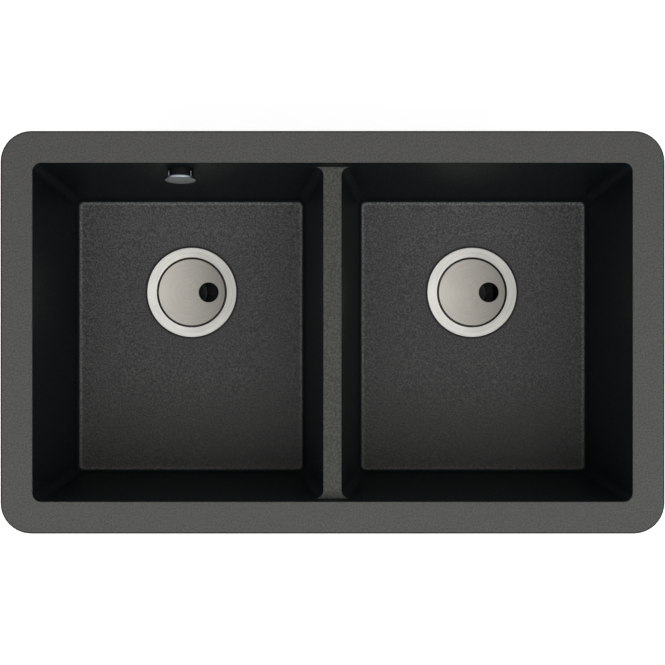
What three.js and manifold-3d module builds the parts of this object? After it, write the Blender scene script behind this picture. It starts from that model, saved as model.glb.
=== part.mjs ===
// Double bowl kitchen sink, moulded in one piece of stone composite. Each bowl drains through
// a steel basket waste under a flat cover disc, and the left-hand bowl has an overflow piped
// into its waste. Millimetres. The origin is the centre of the rim's top face, with +Z up,
// +Y towards the back, where the overflow is, and +X to the right.
import * as THREE from 'three';
import { mergeVertices } from 'three/addons/utils/BufferGeometryUtils.js';
import Module from 'manifold-3d';

// ---- driving dimensions ----

const degree = Math.PI / 180;
const seatGap = 0.3; // between pieces that rest on each other

// the moulding
const sinkWidth = 765;
const sinkLength = 464; // front to back
const rimWidth = 37; // from the outer edge to the bowls
const rimThickness = 12;
const rimCorner = 35.5;
const edgeRadius = 1.2; // on the rim's outer and inner edges
const bowlDepth = 200; // at the waste
const bowlCorner = 9.6;
const wallDraft = 6.5; // degrees, outer walls
const dividerDraft = 7.7; // degrees, the two faces of the divider
const dividerWidth = 21.2; // across its flat top
const dividerDrop = 20; // how far its top lies below the rim
const dividerEdge = 1.5;
const bridgeDepth = 14; // solid part of the divider, hollow below
const floorFillet = 8.2;
const floorFall = 3; // from the floor's edge to the waste
const bowlWall = 9;
const floorThickness = 12;
const cornerSteps = 5;
const filletSteps = 4;

// the basket wastes
const wasteSpacing = 356;
const wasteBehindCentre = 55.5;
const recessDepth = 2.5;
const recessMargin = 1.2; // round the flange
const flangeDiameter = 114.3;
const flangeLip = 1.4; // thickness
const lipWidth = 13.95; // from the flange's edge to its mouth
const mouthRounding = 2.5;
const sheet = 1.2; // pressed steel of the flange's dish
const holeClearance = 0.6; // round the dish, in the bowl's floor
const shelfDrop = 10.5; // from the flange's top to the basket's shelf
const shelfWidth = 1.7;
const dishTaper = 5.5; // how far the dish draws in below the shelf
const dishDepth = 42.5;
const slotCount = 6;
const slotInner = 10;
const slotOuter = 21;
const slotAngle = 40;
const gasketThickness = 1;
const gasketMargin = 1; // inside the flange's edge, and round the hole
const floorGasketThickness = 3;
const floorGasketWidth = 10;
const floorGasketMargin = 0.5; // round the hole, and inside the body's flange

// the plastic waste body
const bodyFlangeThickness = 3;
const bodyWall = 3;
const cupMargin = 1; // from the hole to the cup's inside, at the top
const cupTaper = 3;
const cupDepth = 40;
const outletDiameter = 47.8;
const outletBore = 40;
const outletLength = 34;
const funnelDepth = 7;
const gussetCount = 8;
const gussetDrop = 9;
const gussetThickness = 2.5;
const gussetInset = 1; // from the flange's edge
const hubRadius = 7;
const hubLength = 10;
const spokeCount = 3;
const spokeThickness = 2.5;

// the centre screw
const screwRadius = 3;
const screwClearance = 0.4;
const screwHead = 5.5;
const screwHeadHeight = 2.8;
const screwLength = 11;

// the strainer basket and its plug
const basketSheet = 1;
const basketClearance = 0.6; // between its rim and the flange's mouth
const basketWallClearance = 1.3; // inside the shelf
const basketFootClearance = 4; // inside the dish's foot
const basketFootRadius = 3;
const wallHoleRadius = 3.2;
const wallHoleRows = 2;
const wallHoleCount = 12;
const basketSides = 2 * wallHoleCount; // so that each hole lies within a facet
const bottomHoleRadius = 3;
const bottomHoleInset = 8; // from the foot of the wall to the holes' ring
const bottomHoleCount = 8;
const knobRadius = 20;
const knobThickness = 5;
const knobNeck = 6;
const knobFoot = 8;
const knobHeight = 21.2; // above the basket's bottom
const pinRadius = 3;
const pinLength = 3;
const pinClearance = 0.4;
const holderRadius = 18;
const holderThickness = 2.4;
const bossClearance = 0.8; // round the screw's head
const bossWall = 2.4;
const bossDepth = 2.3;
const sealClearance = 4.6; // to the dish's rounded foot
const sealThickness = 3;
const sealLip = 1; // how far its edge leans in above and below

// the cover disc
const coverClearance = 1; // inside the flange's mouth
const coverThickness = 1.5;
const coverProud = 0.1; // above the flange
const coverEdge = 0.5;
const coverFootInset = 1;
const coverFootWall = 2;
const coverFootWindow = 46;
const fingerHole = 24.8;
const fingerHoleOffset = 21.3;

// the overflow
const overflowDrop = 34; // its axis below the rim, at the wall's face
const capRadius = 18.2;
const capThickness = 2;
const capEdge = 0.7;
const capStandOff = 10.5; // the disc's back from the wall
const capOverhang = 3; // of the disc, beyond its drum
const drumWall = 1.8;
const windowCount = 3;
const windowWidth = 8;
const windowHeight = 5;
const windowSpread = 50; // degrees
const collarRadius = 11.4;
const collarWall = 1.6;
const collarClearance = 0.5; // in the wall's hole
const collarFlangeClearance = 0.4; // inside the drum
const collarFlangeThickness = 1.5;
const collarReach = 8; // into the elbow
const washerThickness = 2;
const washerMargin = 1; // beyond the elbow
const chamberClearance = 0.8; // round the collar
const elbowWall = 5.3;
const elbowEnd = 3;
const spigotInset = 0.5; // from the elbow's mouth

// the overflow hose
const pipeRadius = 12; // the spigots, and the hose over its ribs
const pipeWall = 3.5;
const ribHeight = 1.5;
const hosePitch = 5;
const hoseStraight = 9; // from the bend to the bottom nut's pipe
const hoseSides = 8;
const ribsPerBoreRing = 5;
const nutBelowElbow = 1;
const bodySpigotDrop = 30; // from the gasket to the waste body's spigot
const bodySpigotLength = 13; // beyond the cup
const nutClearance = 0.6;
const nutWall = 2.6;
const nutLength = 16;

// ---- finishes ----

const finishes = {
  stone: { color: 0x4b4b4a, roughness: 0.55, metalness: 0 },
  steel: { color: 0xc9c6c0, roughness: 0.32, metalness: 1 },
  chrome: { color: 0xdcdcdc, roughness: 0.1, metalness: 1 },
  rubber: { color: 0x1a1a1b, roughness: 0.8, metalness: 0 },
  whitePlastic: { color: 0xd9d9d4, roughness: 0.45, metalness: 0 },
  greyPlastic: { color: 0x77797b, roughness: 0.5, metalness: 0 },
  blackPlastic: { color: 0x1b1c1d, roughness: 0.5, metalness: 0 },
};

// ---- solids ----

const wasm = await Module();
wasm.setup();

function solidOf(geometry) {
  const bare = geometry.clone();
  bare.deleteAttribute('normal');
  bare.deleteAttribute('uv');
  const merged = mergeVertices(bare, 1e-4);
  const corners = merged.index.array;
  const triVerts = [];
  for (let i = 0; i < corners.length; i += 3) {
    const [a, b, c] = corners.slice(i, i + 3);
    if (a !== b && b !== c && c !== a) triVerts.push(a, b, c);
  }
  return new wasm.Manifold(new wasm.Mesh({
    numProp: 3,
    vertProperties: Float32Array.from(merged.attributes.position.array),
    triVerts: Uint32Array.from(triVerts),
  }));
}

function geometryOf(solid) {
  const mesh = solid.getMesh();
  const geometry = new THREE.BufferGeometry();
  geometry.setAttribute('position', new THREE.BufferAttribute(mesh.vertProperties, 3));
  geometry.setIndex(new THREE.BufferAttribute(mesh.triVerts, 1));
  return geometry;
}

function joined(...geometries) {
  return geometryOf(geometries.map(solidOf).reduce((whole, piece) => whole.add(piece)));
}

function cutFrom(geometry, tools) {
  return geometryOf(tools.map(solidOf).reduce((whole, tool) => whole.subtract(tool), solidOf(geometry)));
}

// ---- forms ----

function fractions(steps) {
  return Array.from({ length: steps + 1 }, (_, i) => i / steps);
}

function repeated(count, make) {
  return Array.from({ length: count }, (_, i) => make(i));
}

// A rounded rectangle at height z, anticlockwise from above.
function roundedLoop(xMin, xMax, yMin, yMax, radius, z) {
  const centres = [
    [xMax - radius, yMax - radius],
    [xMin + radius, yMax - radius],
    [xMin + radius, yMin + radius],
    [xMax - radius, yMin + radius],
  ];
  return centres.flatMap(([x, y], quarter) => fractions(cornerSteps).map((t) => {
    const angle = (quarter + t) * 90 * degree;
    return new THREE.Vector3(x + radius * Math.cos(angle), y + radius * Math.sin(angle), z);
  }));
}

// A circle with as many points as a rounded rectangle, so that the two can be lofted.
function roundLoop(x, y, radius, z) {
  const count = 4 * (cornerSteps + 1);
  return repeated(count, (i) => {
    const angle = ((i + 0.5) / count) * 360 * degree;
    return new THREE.Vector3(x + radius * Math.cos(angle), y + radius * Math.sin(angle), z);
  });
}

function centreOf(loop) {
  return loop.reduce((sum, point) => sum.add(point), new THREE.Vector3()).divideScalar(loop.length);
}

// A closed solid through loops of equal count, listed from the bottom up.
function loft(loops) {
  const count = loops[0].length;
  const points = [...loops.flat(), centreOf(loops[0]), centreOf(loops.at(-1))];
  const bottomCentre = points.length - 2;
  const topCentre = points.length - 1;
  const topLoop = (loops.length - 1) * count;
  const faces = [];
  for (let i = 0; i < count; i += 1) {
    const next = (i + 1) % count;
    for (let start = 0; start < topLoop; start += count) {
      const [a, b, c, d] = [start + i, start + next, start + count + next, start + count + i];
      faces.push(a, b, c, a, c, d);
    }
    faces.push(bottomCentre, next, i);
    faces.push(topCentre, topLoop + i, topLoop + next);
  }
  const geometry = new THREE.BufferGeometry().setFromPoints(points);
  geometry.setIndex(faces);
  return geometry;
}

// A revolve about Z of [radius, height] points, anticlockwise with the radius to the right.
// A profile that doesn't start on the axis closes on itself.
function turned(profile, sides) {
  const closed = profile[0][0] === 0 ? profile : [...profile, profile[0]];
  const points = closed.map(([radius, height]) => new THREE.Vector2(radius, height));
  return new THREE.LatheGeometry(points, sides).rotateX(90 * degree);
}

function ring(inner, outer, bottom, top, sides) {
  return turned([[inner, bottom], [outer, bottom], [outer, top], [inner, top]], sides);
}

// A cylinder along Z from one height to another.
function rod(radius, bottom, top, sides) {
  const cylinder = new THREE.CylinderGeometry(radius, radius, top - bottom, sides);
  return cylinder.rotateX(90 * degree).translate(0, 0, (bottom + top) / 2);
}

function block(xMin, xMax, yMin, yMax, zMin, zMax) {
  const box = new THREE.BoxGeometry(xMax - xMin, yMax - yMin, zMax - zMin);
  return box.translate((xMin + xMax) / 2, (yMin + yMax) / 2, (zMin + zMax) / 2);
}

// ---- the moulding ----

const wallSlope = Math.tan(wallDraft * degree);
const dividerSlope = Math.tan(dividerDraft * degree);
const floorEdge = bowlDepth - floorFall;
const recessRadius = flangeDiameter / 2 + recessMargin;
const mouthRadius = flangeDiameter / 2 - lipWidth;
const holeRadius = mouthRadius + sheet + holeClearance;
const wallAcross = bowlWall * Math.cos(wallDraft * degree);
const overflowHoleRadius = collarRadius + collarClearance;

// Half the bowls' length at a depth below the rim.
function bowlEnd(depth) {
  return sinkLength / 2 - rimWidth - depth * wallSlope;
}

function bowlSide(depth) {
  return sinkWidth / 2 - rimWidth - depth * wallSlope;
}

function dividerFace(depth) {
  return dividerWidth / 2 + (depth - dividerDrop) * dividerSlope;
}

// One bowl's outline at a depth, drawn in by inset, and flared towards the divider.
function bowlLoop(side, depth, inset, flare = 0) {
  const x = [side * (dividerFace(depth) + inset - flare), side * (bowlSide(depth) - inset)];
  const y = bowlEnd(depth) - inset;
  return roundedLoop(Math.min(...x), Math.max(...x), -y, y, bowlCorner - inset, -depth);
}

function bowlCavity(side) {
  const floor = roundLoop(side * wasteSpacing / 2, wasteBehindCentre, recessRadius + recessMargin, -bowlDepth);
  const fillet = fractions(filletSteps).map((t) => {
    const angle = t * 90 * degree;
    const depth = floorEdge - floorFillet * (1 - Math.cos(angle));
    return bowlLoop(side, depth, floorFillet * (1 - Math.sin(angle)));
  });
  const lip = fractions(2).map((t) => {
    const angle = t * 90 * degree;
    const depth = dividerDrop + dividerEdge * (1 - Math.sin(angle));
    return bowlLoop(side, depth, 0, dividerEdge * (1 - Math.cos(angle)));
  });
  return loft([floor, ...fillet, ...lip]);
}

// The wide cut above the divider, with the rim's rounded inner edge.
function openingCut() {
  const loopAt = (depth, flare) => {
    const x = bowlSide(depth) + flare;
    const y = bowlEnd(depth) + flare;
    return roundedLoop(-x, x, -y, y, bowlCorner + flare, -depth);
  };
  const edge = fractions(3).map((t) => {
    const angle = t * 90 * degree;
    return loopAt(edgeRadius * (1 - Math.sin(angle)), edgeRadius * (1 - Math.cos(angle)));
  });
  return loft([loopAt(dividerDrop, 0), ...edge, loopAt(-edgeRadius, edgeRadius)]);
}

function rimPlate() {
  const loopAt = (inset, z) => {
    const x = sinkWidth / 2 - inset;
    const y = sinkLength / 2 - inset;
    return roundedLoop(-x, x, -y, y, rimCorner - inset, z);
  };
  const edge = fractions(3).map((t) => {
    const angle = t * 90 * degree;
    return loopAt(edgeRadius * (1 - Math.cos(angle)), edgeRadius * (Math.sin(angle) - 1));
  });
  return loft([loopAt(0, -rimThickness), ...edge]);
}

function bowlShell(side) {
  const outerFillet = floorFillet + bowlWall;
  const fillet = fractions(filletSteps).map((t) => {
    const angle = t * 90 * degree;
    const depth = bowlDepth + floorThickness - outerFillet * (1 - Math.cos(angle));
    return bowlLoop(side, depth, outerFillet * (1 - Math.sin(angle)) - bowlWall);
  });
  return loft([...fillet, bowlLoop(side, rimThickness / 2, -bowlWall)]);
}

// Joins the two shells under the divider's flat top.
function dividerBridge() {
  const y = bowlEnd(dividerDrop) + bowlWall / 2;
  const x = dividerWidth / 2;
  return block(-x, x, -y, y, -dividerDrop - bridgeDepth, -rimThickness / 2);
}

function sinkBody() {
  const whole = joined(rimPlate(), bowlShell(-1), bowlShell(1), dividerBridge());
  const wasteTools = [-1, 1].flatMap((side) => [
    rod(holeRadius, -bowlDepth - floorThickness - 1, -bowlDepth + 1, 48),
    rod(recessRadius, -bowlDepth - recessDepth, -bowlDepth + floorFall, 48),
  ].map((tool) => tool.translate(side * wasteSpacing / 2, wasteBehindCentre, 0)));
  const overflowTool = inOverflowFrame(rod(overflowHoleRadius, -2 * bowlWall, bowlWall, 32));
  return cutFrom(whole, [openingCut(), bowlCavity(-1), bowlCavity(1), ...wasteTools, overflowTool]);
}

// ---- the basket wastes: heights from the bowl's floor at the waste ----

const flangeUnder = gasketThickness + 2 * seatGap - recessDepth;
const flangeTop = flangeUnder + flangeLip;
const shelf = flangeTop - shelfDrop;
const dishFloor = flangeTop - dishDepth;
const dishUnder = dishFloor - sheet;
const dishFoot = mouthRadius - shelfWidth - dishTaper;
const floorGasketTop = -floorThickness - seatGap;
const bodyTop = floorGasketTop - floorGasketThickness - seatGap;
const bodyFlange = holeRadius + 2 * floorGasketMargin + floorGasketWidth;
const cupRadius = holeRadius + cupMargin + bodyWall;
const bodySpigotEnd = cupRadius + bodySpigotLength;
const pipeBore = pipeRadius - pipeWall;

function wasteFlange() {
  const lip = flangeDiameter / 2;
  const mouth = mouthRadius;
  const profile = [
    [screwRadius + screwClearance, dishUnder],
    [dishFoot, dishUnder],
    [dishFoot + sheet, dishFloor + sheet],
    [mouth - shelfWidth + sheet, shelf - sheet],
    [mouth + sheet, shelf - sheet],
    [mouth + sheet, flangeUnder],
    [lip, flangeUnder],
    [lip, flangeTop],
    [mouth + mouthRounding, flangeTop],
    [mouth + mouthRounding * 0.3, flangeTop - mouthRounding * 0.3],
    [mouth, flangeTop - mouthRounding],
    [mouth, shelf],
    [mouth - shelfWidth, shelf],
    [dishFoot, dishFloor + 2 * sheet],
    [dishFoot - 2 * sheet, dishFloor],
    [screwRadius + screwClearance, dishFloor],
  ];
  const slots = repeated(slotCount, (i) => {
    const start = ((i * 360) / slotCount - slotAngle / 2) * degree;
    const end = start + slotAngle * degree;
    const outline = new THREE.Shape();
    outline.absarc(0, 0, slotOuter, start, end, false);
    outline.absarc(0, 0, slotInner, end, start, true);
    const through = { depth: 3 * sheet, bevelEnabled: false, curveSegments: 3 };
    return new THREE.ExtrudeGeometry(outline, through).translate(0, 0, dishUnder - sheet);
  });
  return cutFrom(turned(profile, 32), slots);
}

function rimGasket() {
  const bottom = seatGap - recessDepth;
  const outer = flangeDiameter / 2 - gasketMargin;
  return ring(holeRadius + gasketMargin, outer, bottom, bottom + gasketThickness, 24);
}

function floorGasket() {
  const inner = holeRadius + floorGasketMargin;
  return ring(inner, inner + floorGasketWidth, floorGasketTop - floorGasketThickness, floorGasketTop, 24);
}

function wasteBody(spigot) {
  const cupBottom = bodyTop - cupDepth;
  const outletTop = cupBottom - funnelDepth;
  const bottom = outletTop - outletLength;
  const profile = [
    [outletBore / 2, bottom],
    [outletDiameter / 2, bottom],
    [outletDiameter / 2, outletTop],
    [cupRadius - cupTaper, cupBottom],
    [cupRadius, bodyTop - bodyFlangeThickness],
    [bodyFlange, bodyTop - bodyFlangeThickness],
    [bodyFlange, bodyTop],
    [cupRadius - bodyWall, bodyTop],
    [cupRadius - cupTaper - bodyWall, cupBottom + bodyWall / 2],
    [outletBore / 2, outletTop + bodyWall / 2],
  ];
  const hubTop = dishUnder - seatGap;
  const spoke = (i) => {
    const reach = cupRadius - cupTaper - bodyWall / 2;
    const half = spokeThickness / 2;
    return block(hubRadius / 2, reach, -half, half, hubTop - hubLength, hubTop - spokeThickness)
      .rotateZ((270 + (i * 360) / spokeCount) * degree);
  };
  const gusset = (i) => {
    const outline = new THREE.Shape([
      new THREE.Vector2(cupRadius - bodyWall / 2, -bodyFlangeThickness / 2),
      new THREE.Vector2(cupRadius - bodyWall / 2, -bodyFlangeThickness - gussetDrop),
      new THREE.Vector2(bodyFlange - gussetInset, -bodyFlangeThickness),
      new THREE.Vector2(bodyFlange - gussetInset, -bodyFlangeThickness / 2),
    ]);
    const plate = new THREE.ExtrudeGeometry(outline, { depth: gussetThickness, bevelEnabled: false });
    plate.translate(0, 0, -gussetThickness / 2).rotateX(90 * degree).translate(0, 0, bodyTop);
    return plate.rotateZ(((i + 0.5) * 360 * degree) / gussetCount);
  };
  const shell = joined(
    turned(profile, 28),
    rod(hubRadius, hubTop - hubLength, hubTop, 16),
    ...repeated(spokeCount, spoke),
    ...repeated(gussetCount, gusset),
  );
  const screwBore = rod(screwRadius + screwClearance, hubTop - hubLength - 1, hubTop + 1, 12);
  if (!spigot) return cutFrom(shell, [screwBore]);
  const along = (radius, start, end) => rod(radius, start, end, 24)
    .rotateX(-90 * degree)
    .translate(0, 0, bodyTop - bodySpigotDrop);
  const withPipe = joined(shell, along(pipeRadius, cupRadius - bodyWall, bodySpigotEnd));
  return cutFrom(withPipe, [screwBore, along(pipeBore, cupRadius - 3 * bodyWall, bodySpigotEnd + 1)]);
}

const headBottom = dishFloor + seatGap;

function centreScrew() {
  return turned([
    [0, headBottom - screwLength],
    [screwRadius, headBottom - screwLength],
    [screwRadius, headBottom],
    [screwHead, headBottom],
    [screwHead, headBottom + screwHeadHeight],
    [0, headBottom + screwHeadHeight],
  ], 12);
}

// The basket hangs from the shelf, and the seal under it meets the dish's floor.
const sealTop = dishFloor + seatGap + sealThickness;
const holderUnder = sealTop + seatGap;
const holderTop = holderUnder + holderThickness;
const basketUnder = holderTop + seatGap;
const basketFloor = basketUnder + basketSheet;
const basketRimUnder = shelf + seatGap;
const basketDepth = basketRimUnder - basketUnder;
const basketRim = mouthRadius - basketClearance;
const basketWallTop = mouthRadius - shelfWidth - basketWallClearance;
const basketWallFoot = dishFoot - basketFootClearance;

function strainerBasket() {
  const wallLean = (basketWallTop - basketWallFoot) / basketDepth;
  const profile = [
    [pinRadius + pinClearance, basketUnder],
    [basketWallFoot - basketFootRadius, basketUnder],
    [basketWallFoot + basketFootRadius * wallLean, basketUnder + basketFootRadius],
    [basketWallTop, basketRimUnder],
    [basketRim, basketRimUnder],
    [basketRim, basketRimUnder + basketSheet],
    [basketWallTop - basketSheet, basketRimUnder + basketSheet],
    [basketWallFoot - basketSheet + basketFootRadius * wallLean, basketFloor + basketFootRadius],
    [basketWallFoot - basketSheet - basketFootRadius, basketFloor],
    [pinRadius + pinClearance, basketFloor],
  ];
  const wallHole = (row, i) => {
    const height = basketUnder + ((row + 1) * basketDepth) / (wallHoleRows + 1);
    const turn = ((i + row / 2 + 1 / 4) * 360 * degree) / wallHoleCount;
    return rod(wallHoleRadius, basketWallFoot / 2, basketRim, 6)
      .rotateY(90 * degree)
      .translate(0, 0, height)
      .rotateZ(turn);
  };
  const wallHoles = repeated(wallHoleRows, (row) => repeated(wallHoleCount, (i) => wallHole(row, i))).flat();
  const bottomHole = (i) => rod(bottomHoleRadius, basketUnder - 1, basketFloor + 1, 6)
    .translate(basketWallFoot - bottomHoleInset, 0, 0)
    .rotateZ((i * 360 * degree) / bottomHoleCount);
  const bottomHoles = repeated(bottomHoleCount, bottomHole);
  return cutFrom(turned(profile, basketSides), [...wallHoles, ...bottomHoles]);
}

function basketKnob() {
  const foot = basketFloor + seatGap;
  const top = basketFloor + knobHeight;
  const under = top - knobThickness;
  return turned([
    [0, foot - pinLength],
    [pinRadius, foot - pinLength],
    [pinRadius, foot],
    [knobFoot, foot],
    [knobNeck, under - knobThickness / 2],
    [knobRadius - knobThickness / 2, under],
    [knobRadius, under + knobThickness / 2],
    [knobRadius - knobThickness / 2, top],
    [0, top],
  ], 18);
}

const bossBore = screwHead + bossClearance;
const bossRadius = bossBore + bossWall;

function plugHolder() {
  const socketFloor = basketFloor - pinLength;
  return turned([
    [0, holderUnder],
    [bossBore, holderUnder],
    [bossBore, holderUnder - bossDepth],
    [bossRadius, holderUnder - bossDepth],
    [bossRadius, holderUnder],
    [holderRadius, holderUnder],
    [holderRadius, holderTop],
    [pinRadius + pinClearance, holderTop],
    [pinRadius + pinClearance, socketFloor],
    [0, socketFloor],
  ], 16);
}

function plugSeal() {
  const bottom = sealTop - sealThickness;
  const inner = bossRadius + seatGap;
  const outer = dishFoot - 2 * sheet - sealClearance;
  return turned([
    [inner, bottom],
    [outer - 2 * sealLip, bottom],
    [outer, bottom + sealThickness * 0.3],
    [outer - sealLip, bottom + sealThickness * 0.6],
    [holderRadius, sealTop],
    [inner, sealTop],
  ], 20);
}

function drainCover() {
  const top = flangeTop + coverProud;
  const under = top - coverThickness;
  const coverRadius = mouthRadius - coverClearance;
  const footOuter = coverRadius - coverFootInset;
  const footInner = footOuter - coverFootWall;
  const footBottom = basketRimUnder + basketSheet + seatGap;
  const disc = turned([
    [0, under],
    [footInner, under],
    [footInner, footBottom],
    [footOuter, footBottom],
    [footOuter, under],
    [coverRadius, under],
    [coverRadius, top - coverEdge],
    [coverRadius - coverEdge, top],
    [0, top],
  ], 40);
  const half = coverFootWindow / 2;
  const reach = coverRadius + 1;
  return cutFrom(disc, [
    block(-reach, reach, -half, half, footBottom - 1, under),
    block(-half, half, -reach, reach, footBottom - 1, under),
    rod(fingerHole / 2, under - 1, top + 1, 24).translate(fingerHoleOffset, 0, 0),
  ]);
}

// ---- the overflow: in its own frame, the wall's face is z = 0 and +Z points into the bowl ----

const overflowSeat = new THREE.Vector3(-wasteSpacing / 2, bowlEnd(overflowDrop), -overflowDrop);
const overflowTilt = (90 - wallDraft) * degree;
const drumRadius = capRadius - capOverhang;
const drumInner = drumRadius - drumWall;
const elbowMouth = wallAcross + washerThickness + 2 * seatGap; // behind the wall's inner face
const elbowChamber = collarRadius + chamberClearance;
const elbowRadius = elbowChamber + elbowWall;
const pipeBehindWall = elbowMouth + spigotInset + pipeRadius;
const elbowReach = pipeBehindWall + pipeRadius + elbowEnd;
const topSpigot = overflowDrop + elbowReach * wallSlope + elbowRadius + nutBelowElbow + nutLength / 2;

function inOverflowFrame(geometry) {
  return geometry.rotateX(overflowTilt).translate(...overflowSeat.toArray());
}

function overflowCap() {
  const back = capStandOff;
  const front = capStandOff + capThickness;
  const body = turned([
    [0, back],
    [drumInner, back],
    [drumInner, seatGap],
    [drumRadius, seatGap],
    [drumRadius, back],
    [capRadius - capEdge, back],
    [capRadius, back + capEdge],
    [capRadius, front - capEdge],
    [capRadius - capEdge, front],
    [0, front],
  ], 28);
  const windows = repeated(windowCount, (i) => {
    const half = windowWidth / 2;
    const bottom = (capStandOff - windowHeight) / 2;
    return block(-half, half, drumInner - drumWall, drumRadius + 1, bottom, bottom + windowHeight)
      .rotateZ((180 + (i - (windowCount - 1) / 2) * windowSpread) * degree);
  });
  return cutFrom(body, windows);
}

function overflowCollar() {
  const end = -elbowMouth - collarReach;
  const bore = collarRadius - collarWall;
  const flange = drumInner - collarFlangeClearance;
  return turned([
    [bore, end],
    [collarRadius, end],
    [collarRadius, seatGap],
    [flange, seatGap],
    [flange, seatGap + collarFlangeThickness],
    [bore, seatGap + collarFlangeThickness],
  ], 24);
}

function overflowWasher() {
  const top = -wallAcross - seatGap;
  return ring(overflowHoleRadius + seatGap, elbowRadius + washerMargin, top - washerThickness, top, 24);
}

// The elbow's barrel follows the wall's slope and its spigot hangs straight down.
function overflowElbow() {
  const barrel = rod(elbowRadius, -elbowReach, -elbowMouth, 28).rotateX(overflowTilt);
  const chamber = rod(elbowChamber, elbowEnd - elbowReach, 1 - elbowMouth, 28).rotateX(overflowTilt);
  const pipeEnd = overflowDrop - topSpigot;
  const spigot = rod(pipeRadius, pipeEnd, -elbowChamber, 24).translate(0, pipeBehindWall, 0);
  const bore = rod(pipeBore, pipeEnd - 1, 0, 24).translate(0, pipeBehindWall, 0);
  return cutFrom(joined(barrel, spigot), [chamber, bore]);
}

// ---- the hose: down behind the left-hand bowl, then forward under it ----

const hoseTop = overflowSeat.clone().add(new THREE.Vector3(0, pipeBehindWall, overflowDrop - topSpigot));
const hoseEnd = new THREE.Vector3(
  -wasteSpacing / 2,
  wasteBehindCentre + bodySpigotEnd + seatGap,
  bodyTop - bodySpigotDrop - bowlDepth,
);
const hoseBend = hoseTop.y - hoseEnd.y - hoseStraight;
const hoseFall = hoseTop.z - seatGap - hoseEnd.z - hoseBend;
const hoseArc = hoseBend * 90 * degree;

// The point a distance along the hose, and the direction across the bend there.
function hoseAt(distance) {
  const turn = THREE.MathUtils.clamp((distance - hoseFall) / hoseBend, 0, 90 * degree);
  const before = Math.min(distance, hoseFall);
  const after = Math.max(distance - hoseFall - hoseArc, 0);
  const point = new THREE.Vector3(
    hoseTop.x,
    hoseTop.y - hoseBend * (1 - Math.cos(turn)) - after,
    hoseTop.z - seatGap - before - hoseBend * Math.sin(turn),
  );
  const across = new THREE.Vector3(0, Math.cos(turn), -Math.sin(turn)).negate();
  return { point, across };
}

function hoseRing(distance, radius) {
  const { point, across } = hoseAt(distance);
  return repeated(hoseSides, (i) => {
    const angle = (i * 360 * degree) / hoseSides;
    return new THREE.Vector3(Math.cos(angle), 0, 0)
      .addScaledVector(across, Math.sin(angle))
      .multiplyScalar(radius)
      .add(point);
  });
}

// Two rings to a rib outside, and a smooth bore back again.
function overflowHose() {
  const length = hoseFall + hoseArc + hoseStraight;
  const ribs = ribsPerBoreRing * Math.round(length / hosePitch / ribsPerBoreRing);
  const pitch = length / ribs;
  const valley = pipeRadius - ribHeight;
  const outside = repeated(ribs, (i) => [
    hoseRing(i * pitch, valley),
    hoseRing((i + 0.5) * pitch, pipeRadius),
  ]).flat();
  const bore = repeated(ribs / ribsPerBoreRing + 1, (i) => hoseRing(i * ribsPerBoreRing * pitch, pipeBore));
  const rings = [...outside, hoseRing(length, valley), ...bore.reverse()];
  const faces = [];
  rings.forEach((_, i) => {
    const here = i * hoseSides;
    const next = ((i + 1) % rings.length) * hoseSides;
    for (let side = 0; side < hoseSides; side += 1) {
      const beside = (side + 1) % hoseSides;
      faces.push(here + side, here + beside, next + beside);
      faces.push(here + side, next + beside, next + side);
    }
  });
  const geometry = new THREE.BufferGeometry().setFromPoints(rings.flat());
  geometry.setIndex(faces);
  return geometry;
}

function hoseNut() {
  const bore = pipeRadius + nutClearance;
  return ring(bore, bore + nutWall, -nutLength / 2, nutLength / 2, 16);
}

// ---- assembly ----

const sink = new THREE.Group();

function add(parent, name, geometry, finish) {
  const material = new THREE.MeshStandardMaterial(finishes[finish]);
  const mesh = new THREE.Mesh(geometry, material);
  mesh.name = name;
  parent.add(mesh);
  return mesh;
}

add(sink, 'sink_body', sinkBody(), 'stone');

for (const [side, place] of [['left', -1], ['right', 1]]) {
  const waste = new THREE.Group();
  waste.position.set(place * wasteSpacing / 2, wasteBehindCentre, -bowlDepth);
  sink.add(waste);
  add(waste, `${side}_waste_flange`, wasteFlange(), 'steel');
  add(waste, `${side}_rim_gasket`, rimGasket(), 'rubber');
  add(waste, `${side}_floor_gasket`, floorGasket(), 'rubber');
  add(waste, `${side}_waste_body`, wasteBody(side === 'left'), 'whitePlastic');
  add(waste, `${side}_centre_screw`, centreScrew(), 'steel');
  add(waste, `${side}_strainer_basket`, strainerBasket(), 'blackPlastic');
  add(waste, `${side}_basket_knob`, basketKnob(), 'blackPlastic');
  add(waste, `${side}_plug_holder`, plugHolder(), 'blackPlastic');
  add(waste, `${side}_plug_seal`, plugSeal(), 'rubber');
  add(waste, `${side}_drain_cover`, drainCover(), 'steel');
}

const overflow = new THREE.Group();
overflow.position.copy(overflowSeat);
overflow.rotation.x = overflowTilt;
sink.add(overflow);
add(overflow, 'overflow_cap', overflowCap(), 'chrome');
add(overflow, 'overflow_collar', overflowCollar(), 'greyPlastic');
add(overflow, 'overflow_washer', overflowWasher(), 'rubber');
add(sink, 'overflow_elbow', overflowElbow(), 'whitePlastic').position.copy(overflowSeat);
add(sink, 'overflow_hose', overflowHose(), 'greyPlastic');
add(sink, 'hose_top_nut', hoseNut(), 'whitePlastic').position.copy(hoseTop);
const bottomNut = add(sink, 'hose_bottom_nut', hoseNut(), 'whitePlastic');
bottomNut.position.copy(hoseEnd);
bottomNut.rotation.x = 90 * degree;

export default sink;
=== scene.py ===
# Double bowl kitchen sink in dark stone composite: looks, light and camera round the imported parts.
import math

import bmesh
import bpy
from mathutils import Matrix, Vector


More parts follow.
